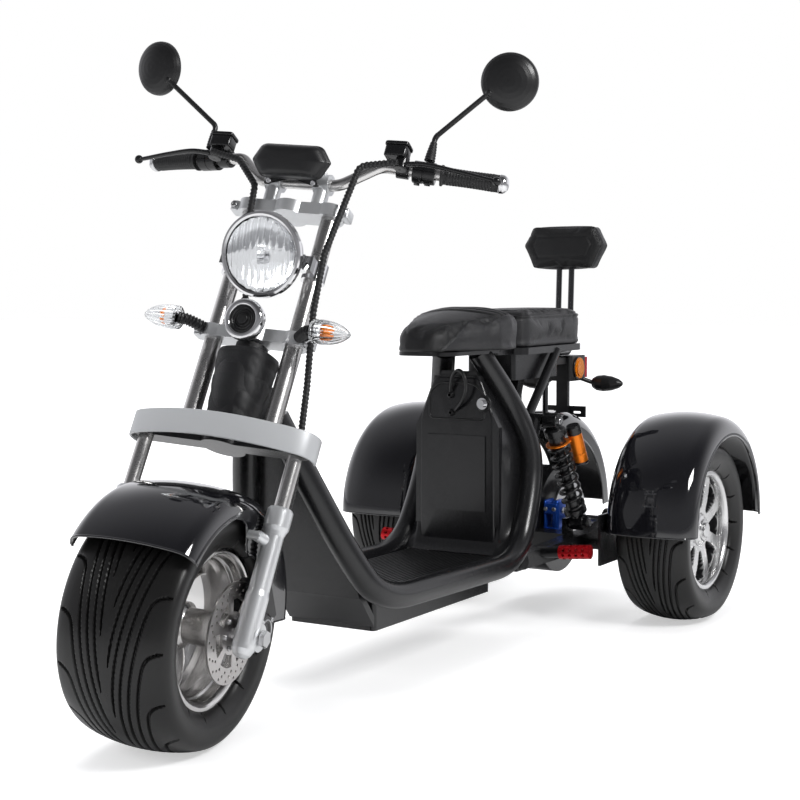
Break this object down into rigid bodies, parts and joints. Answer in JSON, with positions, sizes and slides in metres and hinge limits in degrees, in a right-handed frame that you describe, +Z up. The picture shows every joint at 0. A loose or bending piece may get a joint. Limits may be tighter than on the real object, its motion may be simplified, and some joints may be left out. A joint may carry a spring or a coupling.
{
  "type": "electric tricycle",
  "caption": "Fat-tyre chopper-style electric tricycle with a raked fork, low step-through deck, rider and rear seats, backrest and domed rear mudguards.",
  "frame": {"origin": "middle of the bounding box at ground level", "axes": "+X forward, +Y to the rider's left, +Z up"},
  "size_m": [1.966, 0.946, 1.2872],
  "materials": {
    "satin_black": "satin black powder coat",
    "gloss_black": "gloss black paint",
    "silver_paint": "satin silver paint",
    "chrome": "polished chrome",
    "cast_alloy": "satin cast alloy",
    "polished_alloy": "polished alloy",
    "steel": "brushed",
    "tyre": "matte rubber",
    "seat": "black grained cover",
    "black_plastic": "fine grain",
    "grip": "ribbed rubber",
    "clear": "clear lens",
    "red_lens": "red lens",
    "amber": "amber reflector",
    "orange": "orange anodised",
    "blue": "blue paint",
    "red": "red anodised",
    "mirror": "mirror glass"
  },
  "bodies": {
    "frame": {"frame_left": "satin_black", "frame_right": "satin_black", "neck": "satin_black", "front_shield": "satin_black", "deck": "black_plastic", "battery_box": "satin_black", "battery_case": "satin_black", "key_lock": "chrome", "seat_box": "satin_black", "front_seat": "seat", "rear_seat": "seat", "backrest_posts": "satin_black", "backrest_pad": "seat", "tail_bracket": "black_plastic", "tail_lens": "red_lens", "reflectors": "amber", "swing_arm": "satin_black", "motor": "cast_alloy", "shocks": "satin_black", "shock_reservoirs": "orange", "rear_caliper": "blue", "pegs": "red", "guard_left": "gloss_black", "guard_right": "gloss_black", "guard_middle": "gloss_black", "battery_lead": "grip"},
    "steering": {"fork_yokes": "satin_black", "mid_yoke": "cast_alloy", "top_yoke": "cast_alloy", "bumper_band": "silver_paint", "fork_tubes": "chrome", "fork_legs": "cast_alloy", "front_axle": "steel", "front_fender": "gloss_black", "headlight": "chrome", "headlight_lens": "clear", "horn": "black_plastic", "signal_stalks": "black_plastic", "signal_lenses": "clear", "dash": "black_plastic", "handlebar": "satin_black", "grips": "grip", "controls": "black_plastic", "mirrors": "black_plastic", "mirror_glass": "mirror", "front_caliper": "satin_black", "brake_hoses": "grip"},
    "front_wheel": {"front_tyre": "tyre", "front_rim": "polished_alloy", "front_disc": "steel"},
    "rear_left_wheel": {"tyre_left": "tyre", "rim_left": "polished_alloy", "axle_left": "steel"},
    "rear_right_wheel": {"tyre_right": "tyre", "rim_right": "polished_alloy", "axle_right": "steel"}
  },
  "joints": [
    {"name": "steer", "type": "hinge", "parent": "frame", "child": "steering", "pos_m": [0.76478, 0, 0.21731], "axis": [-0.454, 0, 0.891], "range_deg": [-46, 24]},
    {"name": "front_spin", "type": "hinge", "parent": "steering", "child": "front_wheel", "pos_m": [0.76478, 0, 0.21731], "axis": [-0.17, 0.9816, -0.0866], "continuous": true},
    {"name": "rear_left_spin", "type": "hinge", "parent": "frame", "child": "rear_left_wheel", "pos_m": [-0.68522, 0.364, 0.217], "axis": [0, 1, 0], "continuous": true},
    {"name": "rear_right_spin", "type": "hinge", "parent": "frame", "child": "rear_right_wheel", "pos_m": [-0.68522, -0.364, 0.217], "axis": [0, 1, 0], "continuous": true}
  ]
}
